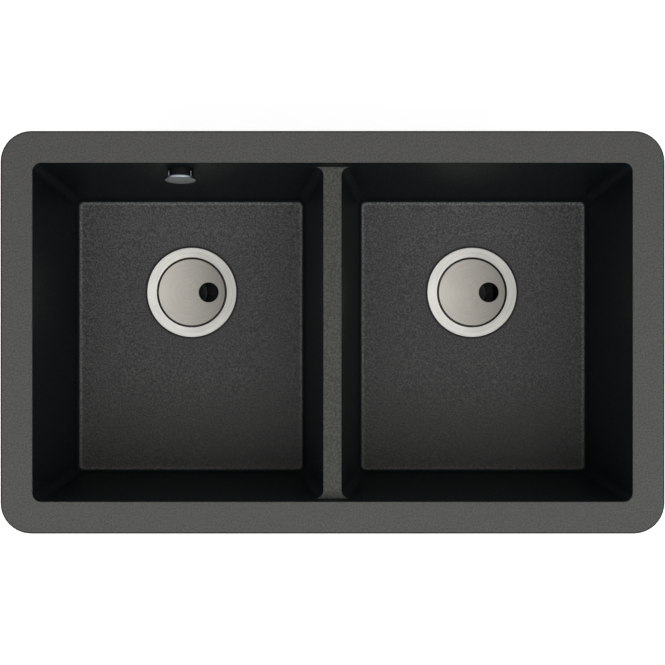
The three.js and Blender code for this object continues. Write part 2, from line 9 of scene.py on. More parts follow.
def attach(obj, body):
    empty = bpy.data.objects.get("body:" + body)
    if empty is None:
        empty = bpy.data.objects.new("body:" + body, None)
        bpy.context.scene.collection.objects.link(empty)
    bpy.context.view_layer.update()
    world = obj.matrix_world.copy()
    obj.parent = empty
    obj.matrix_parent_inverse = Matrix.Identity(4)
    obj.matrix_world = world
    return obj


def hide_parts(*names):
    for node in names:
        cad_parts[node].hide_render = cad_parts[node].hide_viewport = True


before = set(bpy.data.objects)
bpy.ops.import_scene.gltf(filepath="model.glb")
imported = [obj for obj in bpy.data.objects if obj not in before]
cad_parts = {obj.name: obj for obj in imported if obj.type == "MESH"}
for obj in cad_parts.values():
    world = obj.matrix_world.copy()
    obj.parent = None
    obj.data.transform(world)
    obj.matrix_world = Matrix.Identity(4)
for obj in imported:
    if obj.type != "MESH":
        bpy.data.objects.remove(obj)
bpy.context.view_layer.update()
mm = 0.001
seatGap = 0.3  # between pieces that rest on each other, in millimetres
scene = bpy.context.scene
print("frame loaded")

# camera: straight down, a little left of the sink's centre and in front of it
cameraSetup = {"place": (-0.0076, -0.0453, 1.93), "lens": 90.73, "shift": (0.00992, 0.0588)}

lens = bpy.data.cameras.new("camera")
lens.lens = cameraSetup["lens"]
lens.shift_x, lens.shift_y = cameraSetup["shift"]
camera = bpy.data.objects.new("camera", lens)
camera.location = cameraSetup["place"]
scene.collection.objects.link(camera)
scene.camera = camera
scene.view_settings.view_transform = "Standard"

# lamps: wide soft panels high overhead. Each spans angles from straight up, to the right and to
# the front, in degrees, and its level is the brightness that white would show
lampSetup = {
    "height": 8,
    "panels": {
        "frontPanel": {"right": (-35, 35), "front": (12, 38), "level": 3.06, "colour": (1, 1, 1)},
        "overheadPanel": {"right": (-18, 18), "front": (-13, 7), "level": 1.6, "colour": (1, 1, 1)},
        "rightPanel": {"right": (18, 60), "front": (-13, 7), "level": 2.64, "colour": (1, 1, 1)},
        "leftPanel": {"right": (-60, -18), "front": (-13, 7), "level": 0.68, "colour": (1, 1, 1)},
    },
    "room": 0.03,
}


def reachOf(angles):
    return [lampSetup["height"] * math.tan(math.radians(angle)) for angle in angles]


for name, setup in lampSetup["panels"].items():
    (left, right), (rear, front) = reachOf(setup["right"]), reachOf(setup["front"])
    lamp = bpy.data.lights.new(name, "AREA")
    lamp.shape = "RECTANGLE"
    lamp.size, lamp.size_y = right - left, front - rear
    lamp.energy = math.pi * lamp.size * lamp.size_y * setup["level"]
    lamp.color = setup["colour"]
    panel = bpy.data.objects.new(name, lamp)
    panel.location = ((left + right) / 2, -(rear + front) / 2, lampSetup["height"])
    panel.visible_camera = False
    scene.collection.objects.link(panel)
print("camera and lamps set")


def linked(tree, kind, wires=None, **settings):
    # a node with its settings, and its inputs wired or set by name or number
    node = tree.nodes.new(kind)
    for key, value in settings.items():
        setattr(node, key, value)
    for key, value in (wires or {}).items():
        if isinstance(value, bpy.types.NodeSocket):
            tree.links.new(value, node.inputs[key])
        else:
            node.inputs[key].default_value = value
    return node


def reckoned(tree, operation, first, second=0.0, third=0.0):
    return linked(tree, "ShaderNodeMath", {0: first, 1: second, 2: third}, operation=operation).outputs[0]


def spread(tree, value, low, high):
    # a 0 to 1 value brought between two others
    return linked(tree, "ShaderNodeMapRange", {"Value": value, "To Min": low, "To Max": high}).outputs[0]


def stepped(tree, value, low, high):
    # 0 below the lower value and 1 above the higher one
    return linked(tree, "ShaderNodeMapRange", {"Value": value, "From Min": low, "From Max": high}).outputs[0]


def noiseOf(tree, place, scale, detail, **more):
    wires = {"Vector": place, "Scale": scale, "Detail": detail, **more}
    return linked(tree, "ShaderNodeTexNoise", wires).outputs["Fac"]


def groupOf(name, inputs, outputs):
    group = bpy.data.node_groups.new(name, "ShaderNodeTree")
    for label, kind, value in inputs:
        socket = group.interface.new_socket(label, in_out="INPUT", socket_type=kind)
        if value is not None:
            socket.default_value = value
    for label, kind in outputs:
        group.interface.new_socket(label, in_out="OUTPUT", socket_type=kind)
    return group, group.nodes.new("NodeGroupInput").outputs, group.nodes.new("NodeGroupOutput").inputs


number, vector = "NodeSocketFloat", "NodeSocketVector"

# speckle: mineral grains of two sizes with softer clouds between them
speckle, given, result = groupOf(
    "speckle",
    [("Vector", vector, None), ("Grain", number, 520.0), ("Cloud", number, 60.0)],
    [("Grains", number), ("Flecks", number), ("Clouds", number), ("Height", number)],
)
coarse = noiseOf(speckle, given["Vector"], given["Grain"], 0.5, Roughness=0.5)
crystals = linked(speckle, "ShaderNodeTexVoronoi", {"Vector": given["Vector"], "Scale": given["Grain"]})
clouds = noiseOf(speckle, given["Vector"], given["Cloud"], 4.0, Roughness=0.6)
grains = stepped(speckle, coarse, 0.32, 0.68)
flecks = stepped(speckle, crystals.outputs["Color"], 0.72, 0.95)
speckle.links.new(grains, result["Grains"])
speckle.links.new(flecks, result["Flecks"])
speckle.links.new(clouds, result["Clouds"])
speckle.links.new(reckoned(speckle, "ADD", grains, flecks), result["Height"])

# lathe marks and sheen: streaks that run round the axis of a turned piece, with Vector centred on
# it, and a painted sheen, pale towards one side and darker on the other, in place of the light on the brushing
latheMarksAndSheen, given, result = groupOf(
    "latheMarksAndSheen",
    [
        ("Vector", vector, None), ("Rings", number, 2500.0), ("Sweep", number, 3.0), ("Reach", number, 0.042),
        ("Toward", vector, (-1, 0, 0)),
    ],
    [("Streaks", number), ("Broad", number), ("PaintedSheen", number)],
)
flat = linked(latheMarksAndSheen, "ShaderNodeVectorMath", {0: given["Vector"], 1: (1, 1, 0)}, operation="MULTIPLY")
reach = linked(latheMarksAndSheen, "ShaderNodeVectorMath", {0: flat.outputs[0]}, operation="LENGTH")
turn = linked(latheMarksAndSheen, "ShaderNodeTexGradient", {"Vector": flat.outputs[0]}, gradient_type="RADIAL")
ringPlace = reckoned(latheMarksAndSheen, "MULTIPLY", reach.outputs["Value"], given["Rings"])
mirrored = reckoned(latheMarksAndSheen, "PINGPONG", turn.outputs["Fac"], 0.5)
turnPlace = reckoned(latheMarksAndSheen, "MULTIPLY", mirrored, given["Sweep"])
polar = linked(latheMarksAndSheen, "ShaderNodeCombineXYZ", {"X": ringPlace, "Y": turnPlace})
streaks = noiseOf(latheMarksAndSheen, polar.outputs[0], 1.0, 3.0, Roughness=0.7)
slow = linked(latheMarksAndSheen, "ShaderNodeVectorMath", {0: polar.outputs[0], 1: (0.3, 2.5, 1)}, operation="MULTIPLY")
broad = noiseOf(latheMarksAndSheen, slow.outputs[0], 1.0, 2.0)
wires = {0: flat.outputs[0], 1: given["Toward"]}
pull = linked(latheMarksAndSheen, "ShaderNodeVectorMath", wires, operation="DOT_PRODUCT")
furthest = reckoned(latheMarksAndSheen, "MAXIMUM", reach.outputs["Value"], given["Reach"])
side = reckoned(latheMarksAndSheen, "DIVIDE", pull.outputs["Value"], furthest)
latheMarksAndSheen.links.new(streaks, result["Streaks"])
latheMarksAndSheen.links.new(broad, result["Broad"])
latheMarksAndSheen.links.new(reckoned(latheMarksAndSheen, "MULTIPLY_ADD", side, 0.5, 0.5), result["PaintedSheen"])

# moulded skin: the faint orange peel and flow marks of a moulded plastic or rubber piece
mouldedSkin, given, result = groupOf(
    "mouldedSkin",
    [("Vector", vector, None), ("Peel", number, 900.0), ("Flow", number, 40.0)],
    [("Peel", number), ("Flow", number)],
)
peel = noiseOf(mouldedSkin, given["Vector"], given["Peel"], 2.0)
flow = noiseOf(mouldedSkin, given["Vector"], given["Flow"], 3.0, Distortion=0.6)
mouldedSkin.links.new(peel, result["Peel"])
mouldedSkin.links.new(flow, result["Flow"])


def newMaterial(name, **constants):
    material = bpy.data.materials.new(name)
    material.use_nodes = True
    tree = material.node_tree
    shader = tree.nodes["Principled BSDF"]
    for label, value in constants.items():
        shader.inputs[label].default_value = value
    place = tree.nodes.new("ShaderNodeTexCoord").outputs["Object"]
    return material, tree, shader, place


def blended(tree, share, first, second, way="MIX", held=False):
    # two colours mixed; the share may pass 0 and 1 unless it is held between them
    wires = {0: share, 6: first, 7: second}
    mix = linked(tree, "ShaderNodeMix", wires, data_type="RGBA", blend_type=way, clamp_factor=held)
    return mix.outputs[2]


def tinted(tree, value, first, second):
    return blended(tree, value, (*first, 1), (*second, 1), held=True)


def bumped(tree, shader, height, strength, distance):
    bump = linked(tree, "ShaderNodeBump", {"Height": height, "Strength": strength, "Distance": distance})
    tree.links.new(bump.outputs["Normal"], shader.inputs["Normal"])


# the moulding: a flat rim, two drafted bowls and the lowered divider, in millimetres as measured
moulding = {
    "width": 765, "length": 464, "rimWidth": 37, "rimThickness": 12, "rimCorner": 35.5, "edge": 1.2,
    "depth": 200, "corner": 9.6, "draft": 6.5, "dividerDraft": 7.7, "dividerWidth": 21.2,
    "dividerDrop": 20, "dividerEdge": 1.5, "bridge": 14, "fillet": 8.2, "fall": 3, "wall": 9, "floor": 12,
    "hole": 45, "recess": 58.35, "recessDepth": 2.5, "overflowHole": 11.9, "overflowDrop": 34,
}

# stone composite: black resin and quartz, satin, with painted sheen on its upward faces where the
# overhead light falls, paler on the rim and the divider's top; on the floor it darkens towards the
# front, a painted shade where the front wall stands between the floor and the light, and on the
# rim it is paler at the front. The foot has a painted highlight and the waste a painted shadow
# round it. Each zone leads from none of its painted sheen to all of it: heights and margins in
# metres, facing by how squarely it looks up
stoneLook = {
    "dark": (0.0016, 0.0034, 0.0041, 1), "light": (0.0038, 0.0058, 0.0064, 1), "fleck": (0.02, 0.02, 0.019, 1),
    "floorSheenFront": (0.0303, 0.0285, 0.0245, 1), "floorSheenRear": (0.0629, 0.0615, 0.0608, 1),
    "rimFront": (0.102, 0.1012, 0.0946, 1), "rimRear": (0.094, 0.0915, 0.086, 1),
    "ridge": (0.0676, 0.066, 0.0587, 1),
    "floorGrain": 0.32, "ridgeGrain": 0.19, "rimGrain": 0.115, "footHighlight": 1.0, "wasteShadow": 0.4,
    "smooth": 0.44, "rough": 0.58, "shine": 0.16, "bump": 0.4, "bumpDepth": 0.0003,
    "cloudLow": 0.92, "cloudHigh": 1.08, "rimFlecks": -0.6, "wallBump": 0.2,
    "zones": {
        "rearward": (-0.2, 0.2), "floorStart": (-0.2012, -0.2006), "floorEnd": (-0.16, -0.15),
        "floorFacing": (0.78, 0.88), "footStart": (0.8, 0.88), "footEnd": (0.95, 0.99),
        "wasteEdge": (-0.200005, -0.199985), "innerMargin": (0.02, 0.021), "innerFacing": (0.6, 0.9),
        "outerMargin": (0.0011, 0.0021), "outerFacing": (0.985, 0.999), "rimHeight": (-0.0009, -0.0005),
        "ridgeStart": (-0.024, -0.0206), "ridgeEnd": (-0.016, -0.015), "ridgeFacing": (0.93, 0.995),
    },
}
zones = stoneLook["zones"]
stone, tree, shader, place = newMaterial("stoneComposite", **{"Specular IOR Level": stoneLook["shine"]})
marks = linked(tree, "ShaderNodeGroup", node_tree=speckle)
tree.links.new(place, marks.inputs["Vector"])
normal = tree.nodes["Texture Coordinate"].outputs["Normal"]
upward = linked(tree, "ShaderNodeSeparateXYZ", {0: normal}).outputs["Z"]
away = linked(tree, "ShaderNodeSeparateXYZ", {0: place}).outputs
level = away["Z"]
rearward = stepped(tree, away["Y"], *zones["rearward"])

# the floor and its rounded foot, with painted sheen on both, a painted highlight where the foot turns up and a
# painted shadow round the waste
aboveFloor, aboveFoot = (stepped(tree, level, *zones[name]) for name in ("floorStart", "floorEnd"))
floorLevel = reckoned(tree, "SUBTRACT", aboveFloor, aboveFoot)
floorArea = reckoned(tree, "MULTIPLY", floorLevel, stepped(tree, upward, *zones["floorFacing"]))
leaning, flattened = (stepped(tree, upward, *zones[name]) for name in ("footStart", "footEnd"))
turning = reckoned(tree, "SUBTRACT", leaning, flattened)
foot = reckoned(tree, "MULTIPLY", reckoned(tree, "MULTIPLY", floorLevel, turning), stoneLook["footHighlight"])
clear = spread(tree, stepped(tree, level, *zones["wasteEdge"]), stoneLook["wasteShadow"], 1)
inBowl = reckoned(tree, "MULTIPLY", reckoned(tree, "ADD", floorArea, foot), clear)

# how far a point lies inside the rounded outline of the rim
corner = moulding["rimCorner"] * mm
straight = (moulding["width"] * mm / 2 - corner, moulding["length"] * mm / 2 - corner, 0)
outer = linked(tree, "ShaderNodeVectorMath", {0: place, 1: (1, 1, 0)}, operation="MULTIPLY").outputs[0]
outer = linked(tree, "ShaderNodeVectorMath", {0: outer}, operation="ABSOLUTE").outputs[0]
outer = linked(tree, "ShaderNodeVectorMath", {0: outer, 1: straight}, operation="SUBTRACT").outputs[0]
outer = linked(tree, "ShaderNodeVectorMath", {0: outer, 1: (0, 0, 0)}, operation="MAXIMUM").outputs[0]
outer = linked(tree, "ShaderNodeVectorMath", {0: outer}, operation="LENGTH").outputs["Value"]
margin = reckoned(tree, "SUBTRACT", corner, outer)

# the rim's painted sheen runs over its inner edge as a painted highlight and stops short of its outer one,
# which stays dark
overEdge, flatTop = (
    reckoned(tree, "MULTIPLY", stepped(tree, margin, *zones[reach]), stepped(tree, upward, *zones[facing]))
    for reach, facing in (("innerMargin", "innerFacing"), ("outerMargin", "outerFacing"))
)
onRim = reckoned(tree, "MAXIMUM", flatTop, overEdge)
onRim = reckoned(tree, "MULTIPLY", stepped(tree, level, *zones["rimHeight"]), onRim)
aboveGap, aboveRidge = (stepped(tree, level, *zones[name]) for name in ("ridgeStart", "ridgeEnd"))
onRidge = reckoned(tree, "SUBTRACT", aboveGap, aboveRidge)
onRidge = reckoned(tree, "MULTIPLY", onRidge, stepped(tree, upward, *zones["ridgeFacing"]))

contrast = reckoned(tree, "MULTIPLY", floorLevel, stoneLook["floorGrain"])
contrast = reckoned(tree, "MULTIPLY_ADD", onRidge, stoneLook["ridgeGrain"], contrast)
contrast = reckoned(tree, "MULTIPLY_ADD", onRim, stoneLook["rimGrain"], contrast)
grainy = reckoned(tree, "MULTIPLY_ADD", spread(tree, marks.outputs["Grains"], -1, 1), contrast, 1.0)
clouds = spread(tree, marks.outputs["Clouds"], stoneLook["cloudLow"], stoneLook["cloudHigh"])
grainy = reckoned(tree, "MULTIPLY", reckoned(tree, "MULTIPLY", grainy, grainy), clouds)
pale = reckoned(tree, "ADD", inBowl, reckoned(tree, "ADD", onRidge, onRim))
colour = blended(tree, marks.outputs["Grains"], stoneLook["dark"], stoneLook["light"])
fleckShare = reckoned(tree, "MULTIPLY_ADD", onRim, stoneLook["rimFlecks"], pale)
flecks = reckoned(tree, "MULTIPLY", marks.outputs["Flecks"], fleckShare)
colour = blended(tree, flecks, colour, stoneLook["fleck"], "ADD")
# painted sheen: on the floor darker towards the front, a painted shade from the front wall, then on the
# divider's top, then on the rim paler at its front
paintedFloorSheen = blended(tree, rearward, stoneLook["floorSheenFront"], stoneLook["floorSheenRear"])
colour = blended(tree, reckoned(tree, "MULTIPLY", inBowl, grainy), colour, paintedFloorSheen, "ADD")
colour = blended(tree, reckoned(tree, "MULTIPLY", onRidge, grainy), colour, stoneLook["ridge"], "ADD")
paintedRimSheen = blended(tree, rearward, stoneLook["rimFront"], stoneLook["rimRear"])
colour = blended(tree, reckoned(tree, "MULTIPLY", onRim, grainy), colour, paintedRimSheen, "ADD")
tree.links.new(colour, shader.inputs["Base Color"])
roughness = spread(tree, marks.outputs["Grains"], stoneLook["smooth"], stoneLook["rough"])
tree.links.new(roughness, shader.inputs["Roughness"])
height = reckoned(tree, "MULTIPLY", marks.outputs["Height"], spread(tree, pale, stoneLook["wallBump"], 1.0))
bumped(tree, shader, height, stoneLook["bump"], stoneLook["bumpDepth"])


def steelFinish(name, centre, look, shade):
    # turned steel with its lathe marks and painted sheen round the given centre, in metres
    material, tree, shader, place = newMaterial(name, Metallic=1.0, Anisotropic=look["across"])
    centred = linked(tree, "ShaderNodeMapping", {"Vector": place, "Location": (-centre[0], -centre[1], 0)})
    marks = linked(tree, "ShaderNodeGroup", node_tree=latheMarksAndSheen)
    tree.links.new(centred.outputs[0], marks.inputs["Vector"])
    marks.inputs["Rings"].default_value = look["rings"]
    marks.inputs["Toward"].default_value = (*look["toward"], 0)
    flat = linked(tree, "ShaderNodeVectorMath", {0: centred.outputs[0], 1: (1, 1, 0)}, operation="MULTIPLY")
    outward = linked(tree, "ShaderNodeVectorMath", {0: flat.outputs[0]}, operation="NORMALIZE")
    tree.links.new(outward.outputs[0], shader.inputs["Tangent"])
    # the pale and dark ends of the painted sheen, both painted darker by the waste's shade
    pale = tuple(min(1.0, share * shade * (1 + look["paintedSheen"])) for share in look["base"])
    dark = tuple(share * shade * (1 - look["paintedSheen"]) for share in look["base"])
    patches = reckoned(tree, "MULTIPLY_ADD", marks.outputs["Broad"], look["marks"], -0.5 * look["marks"])
    lines = reckoned(tree, "MULTIPLY_ADD", marks.outputs["Streaks"], look["lines"], -0.5 * look["lines"])
    tone = reckoned(tree, "ADD", reckoned(tree, "ADD", marks.outputs["PaintedSheen"], patches), lines)
    tree.links.new(tinted(tree, tone, dark, pale), shader.inputs["Base Color"])
    low, high = look["rough"] - look["streak"], look["rough"] + look["streak"]
    tree.links.new(spread(tree, marks.outputs["Streaks"], low, high), shader.inputs["Roughness"])
    bumped(tree, shader, marks.outputs["Streaks"], 0.2, 0.00003)
    return material


def mouldedFinish(name, first, second, rough, peelScale=900.0, strength=0.15, shine=0.5):
    # moulded plastic or rubber with flow clouds and a fine peel
    material, tree, shader, place = newMaterial(name, **{"Specular IOR Level": shine})
    skin = linked(tree, "ShaderNodeGroup", node_tree=mouldedSkin)
    tree.links.new(place, skin.inputs["Vector"])
    skin.inputs["Peel"].default_value = peelScale
    tree.links.new(tinted(tree, skin.outputs["Flow"], first, second), shader.inputs["Base Color"])
    tree.links.new(spread(tree, skin.outputs["Flow"], rough - 0.06, rough + 0.06), shader.inputs["Roughness"])
    bumped(tree, shader, skin.outputs["Peel"], strength, 0.0001)
    return material


whitePlastic = mouldedFinish("whitePlastic", (0.64, 0.64, 0.61), (0.72, 0.72, 0.7), 0.42)
greyPlastic = mouldedFinish("greyPlastic", (0.165, 0.175, 0.185), (0.2, 0.21, 0.22), 0.46)
blackPlastic = mouldedFinish(
    "blackPlastic", (0.0022, 0.0024, 0.0026), (0.0042, 0.0045, 0.0048), 0.46, shine=0.1,
)
blackRubber = mouldedFinish("blackRubber", (0.016, 0.016, 0.017), (0.026, 0.026, 0.027), 0.75, 1600.0, 0.3)

# chrome plate: with water spots and faint polishing haze
chromeLook = {
    "dark": (0.26, 0.287, 0.321), "light": (0.294, 0.324, 0.36), "flow": 120.0, "smooth": 0.24, "rough": 0.34,
}
chrome, tree, shader, place = newMaterial("chromePlate", Metallic=1.0)
skin = linked(tree, "ShaderNodeGroup", node_tree=mouldedSkin)
tree.links.new(place, skin.inputs["Vector"])
skin.inputs["Flow"].default_value = chromeLook["flow"]
plate = tinted(tree, skin.outputs["Flow"], chromeLook["dark"], chromeLook["light"])
tree.links.new(plate, shader.inputs["Base Color"])
haze = spread(tree, skin.outputs["Flow"], chromeLook["smooth"], chromeLook["rough"])
tree.links.new(haze, shader.inputs["Roughness"])
print("finishes made")


def moved(shape, offset):
    bmesh.ops.translate(shape, vec=Vector(offset) * mm, verts=shape.verts)
    return shape


def swung(shape, degrees, axis="Z"):
    turn = Matrix.Rotation(math.radians(degrees), 3, axis)
    bmesh.ops.rotate(shape, cent=(0, 0, 0), matrix=turn, verts=shape.verts)
    return shape


def placed(shape, matrix):
    bmesh.ops.transform(shape, matrix=matrix, verts=shape.verts)
    return shape


def rounded(shape, edges, radius, steps=3):
    bmesh.ops.bevel(
        shape, geom=list(edges), offset=radius * mm, segments=steps, profile=0.5,
        affect="EDGES", material=-1, clamp_overlap=True,
    )
    return shape


def sharpEdges(shape, degrees=40):
    limit = math.radians(degrees)
    return [edge for edge in shape.edges if edge.is_manifold and edge.calc_face_angle(0) > limit]


def edgesAlong(shape, axis):
    # the edges that lead along one axis, by its number
    return [edge for edge in shape.edges if abs(edge.verts[0].co[axis] - edge.verts[1].co[axis]) > mm]


def ringAt(shape, radius, level):
    # the edges that run round a turned shape at one radius and height
    def on(vert):
        return abs(vert.co.xy.length / mm - radius) < 0.05 and abs(vert.co.z / mm - level) < 0.05
    return [edge for edge in shape.edges if on(edge.verts[0]) and on(edge.verts[1])]


def turned(profile, steps=96, sweep=360):
    # spins a closed outline of (radius, height) points round Z
    shape = bmesh.new()
    verts = [shape.verts.new((radius * mm, 0, level * mm)) for radius, level in profile]
    onAxis = profile[0][0] == 0 and profile[-1][0] == 0
    pairs = list(zip(verts, verts[1:])) + ([] if onAxis else [(verts[-1], verts[0])])
    edges = [shape.edges.new(pair) for pair in pairs]
    bmesh.ops.spin(
        shape, geom=verts + edges, cent=(0, 0, 0), axis=(0, 0, 1),
        angle=math.radians(sweep), steps=steps, use_merge=sweep == 360,
    )
    if sweep < 360:
        bmesh.ops.holes_fill(shape, edges=shape.edges, sides=0)
        swung(shape, -sweep / 2)
    bmesh.ops.remove_doubles(shape, verts=shape.verts, dist=0.000002)
    bmesh.ops.recalc_face_normals(shape, faces=shape.faces)
    return shape


def softened(shape, radius, steps=2, degrees=40):
    return rounded(shape, sharpEdges(shape, degrees), radius, steps)


def bar(xs, ys, zs):
    # a box between two corners
    shape = bmesh.new()
    bmesh.ops.create_cube(shape, size=1)
    size = Vector((xs[1] - xs[0], ys[1] - ys[0], zs[1] - zs[0])) * mm
    bmesh.ops.scale(shape, vec=size, verts=shape.verts)
    return moved(shape, ((xs[0] + xs[1]) / 2, (ys[0] + ys[1]) / 2, (zs[0] + zs[1]) / 2))


def rod(radius, bottom, top, steps=64):
    shape = bmesh.new()
    bmesh.ops.create_cone(
        shape, cap_ends=True, segments=steps, radius1=radius * mm, radius2=radius * mm,
        depth=(top - bottom) * mm,
    )
    return moved(shape, (0, 0, (top + bottom) / 2))


def asObject(shape, name):
    mesh = bpy.data.meshes.new(name)
    bmesh.ops.recalc_face_normals(shape, faces=shape.faces)
    shape.to_mesh(mesh)
    shape.free()
    item = bpy.data.objects.new(name, mesh)
    scene.collection.objects.link(item)
    return item


def combined(shape, others, operation="DIFFERENCE"):
    # takes the other shapes away, or adds them
    block = asObject(shape, "block")
    tools = [asObject(other, "tool") for other in others]
    for tool in tools:
        step = block.modifiers.new("step", "BOOLEAN")
        step.solver = "EXACT"
        step.operation = operation
        step.object = tool
    bpy.context.view_layer.update()
    result = bmesh.new()
    result.from_object(block, bpy.context.evaluated_depsgraph_get())
    for item in [block, *tools]:
        mesh = item.data
        bpy.data.objects.remove(item)
        bpy.data.meshes.remove(mesh)
    bmesh.ops.remove_doubles(result, verts=result.verts, dist=0.000002)
    bmesh.ops.dissolve_degenerate(result, edges=result.edges, dist=0.000001)
    return result


def finished(shape, name, body, replaced, material, sharp=32):
    # a shape made a piece that rides on its body and stands for its CAD node
    piece = asObject(shape, name)
    piece.data.shade_smooth()
    piece.data.set_sharp_from_angle(angle=math.radians(sharp))
    even = piece.modifiers.new("evenNormals", "WEIGHTED_NORMAL")
    even.keep_sharp = True
    piece.data.materials.append(material)
    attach(piece, body)
    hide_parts(replaced)
    return piece


wasteAt = {"left": (-178, 55.5, -200), "right": (178, 55.5, -200)}
slope = math.tan(math.radians(moulding["draft"]))
dividerSlope = math.tan(math.radians(moulding["dividerDraft"]))


def bowlEnd(depth):
    return moulding["length"] / 2 - moulding["rimWidth"] - depth * slope


def bowlSide(depth):
    return moulding["width"] / 2 - moulding["rimWidth"] - depth * slope


def dividerFace(depth):
    return moulding["dividerWidth"] / 2 + (depth - moulding["dividerDrop"]) * dividerSlope


# the overflow's own frame: the wall's face is its floor, and +Z points into the bowl
overflowSeat = Vector((-178, bowlEnd(moulding["overflowDrop"]), -moulding["overflowDrop"]))
overflowTurn = Matrix.Rotation(math.radians(90 - moulding["draft"]), 4, "X")
overflowPlace = Matrix.Translation(overflowSeat * mm) @ overflowTurn


def tapered(top, bottom, corner):
    # a box with rounded upright edges; each end is (xMin, xMax, yMin, yMax, height)
    shape = bmesh.new()
    bmesh.ops.create_cube(shape, size=2)
    for vert in shape.verts:
        end = top if vert.co.z > 0 else bottom
        x = end[0] if vert.co.x < 0 else end[1]
        y = end[2] if vert.co.y < 0 else end[3]
        vert.co = Vector((x, y, end[4])) * mm
    return rounded(shape, edgesAlong(shape, 2), corner, 10)


def lowestFace(shape):
    return min(shape.faces, key=lambda face: face.calc_center_median().z)


def bowlBox(side, topDepth, bottomDepth, grown, corner):
    # a bowl's block between two depths, grown by a wall
    ends = []
    for depth in (topDepth, bottomDepth):
        x = sorted([side * (dividerFace(depth) - grown), side * (bowlSide(depth) + grown)])
        y = bowlEnd(depth) + grown
        ends.append((*x, -y, y, -depth))
    return tapered(*ends, corner)


def bowlSolid(side):
    wall, bottom = moulding["wall"], moulding["depth"] + moulding["floor"]
    shape = bowlBox(side, moulding["rimThickness"] / 2, bottom, wall, moulding["corner"] + wall)
    return rounded(shape, lowestFace(shape).edges, moulding["fillet"] + wall, 8)


def bowlHollow(side):
    # drafted sides, a rounded foot, and a floor that falls to the waste
    bottom = moulding["depth"] - moulding["fall"]
    shape = bowlBox(side, moulding["dividerDrop"] - 6, bottom, -0.02, moulding["corner"])
    rounded(shape, lowestFace(shape).edges, moulding["fillet"], 8)
    floor = lowestFace(shape)
    floorEdges = list(floor.edges)
    bmesh.ops.delete(shape, geom=[floor], context="FACES_ONLY")
    waste = wasteAt["left" if side < 0 else "right"]
    place = Matrix.Translation(Vector(waste) * mm)
    radius = (moulding["recess"] + 1.2) * mm
    made = bmesh.ops.create_circle(shape, cap_ends=True, segments=72, radius=radius, matrix=place)
    around = {edge for vert in made["verts"] for edge in vert.link_edges}
    bmesh.ops.bridge_loops(shape, edges=floorEdges + list(around))
    return shape


def sinkMoulding():
    half = moulding["width"] / 2, moulding["length"] / 2
    plate = (-half[0], half[0], -half[1], half[1])
    rim = tapered((*plate, 0), (*plate, -moulding["rimThickness"]), moulding["rimCorner"])
    top = max(rim.faces, key=lambda face: face.calc_center_median().z)
    rounded(rim, top.edges, moulding["edge"], 4)
    under = lowestFace(rim)
    rounded(rim, under.edges, 0.8, 2)
    drop = moulding["dividerDrop"]
    bridgeEnd = bowlEnd(drop) + moulding["wall"] / 2
    bridgeHalf = moulding["dividerWidth"] / 2
    bridge = bar((-bridgeHalf, bridgeHalf), (-bridgeEnd, bridgeEnd), (-drop - moulding["bridge"], -6))
    shape = combined(rim, [bowlSolid(-1), bowlSolid(1), bridge], "UNION")
    ends = []
    for depth in (-4, drop):
        x, y = bowlSide(depth), bowlEnd(depth)
        ends.append((-x, x, -y, y, -depth))
    shape = combined(shape, [tapered(*ends, moulding["corner"]), bowlHollow(-1), bowlHollow(1)])
    inner, crest = [], []
    for edge in sharpEdges(shape):
        first, second = (vert.co / mm for vert in edge.verts)
        if max(abs(first.z), abs(second.z)) < 0.05:
            if abs(first.x) < half[0] - 20 and abs(first.y) < half[1] - 20:
                inner.append(edge)
        elif max(abs(first.z + drop), abs(second.z + drop)) < 0.05:
            alongWall = min(abs(first.y), abs(second.y)) > bowlEnd(drop) - 1
            if max(abs(first.x), abs(second.x)) < bridgeHalf + 14 and not alongWall:
                crest.append(edge)
    rounded(shape, inner, moulding["edge"], 4)
    rounded(shape, [edge for edge in crest if edge.is_valid], moulding["dividerEdge"], 4)
    cutters = [placed(rod(moulding["overflowHole"], -20, 20, 48), overflowPlace)]
    for waste in wasteAt.values():
        cutters.append(moved(rod(moulding["hole"], -30, 5, 96), waste))
        cutters.append(moved(rod(moulding["recess"], -moulding["recessDepth"], 3, 96), waste))
    return combined(shape, cutters)


finished(sinkMoulding(), "sinkMoulding", "sink", "sink_body", stone)
print("moulding made")

# the basket wastes: heights are from the bowl's floor at the waste
flange = {
    "lip": 57.15, "mouth": 43.2, "top": 0.5, "under": -0.9, "dish": 0.4, "mouthTop": 44.6, "shelf": -10.0,
    "shelfWidth": 1.7, "foot": 36, "floor": -42.0, "sheet": 1.2, "bore": 3.4, "slots": 6, "slotIn": 10,
    "slotOut": 21, "slotAngle": 40,
}


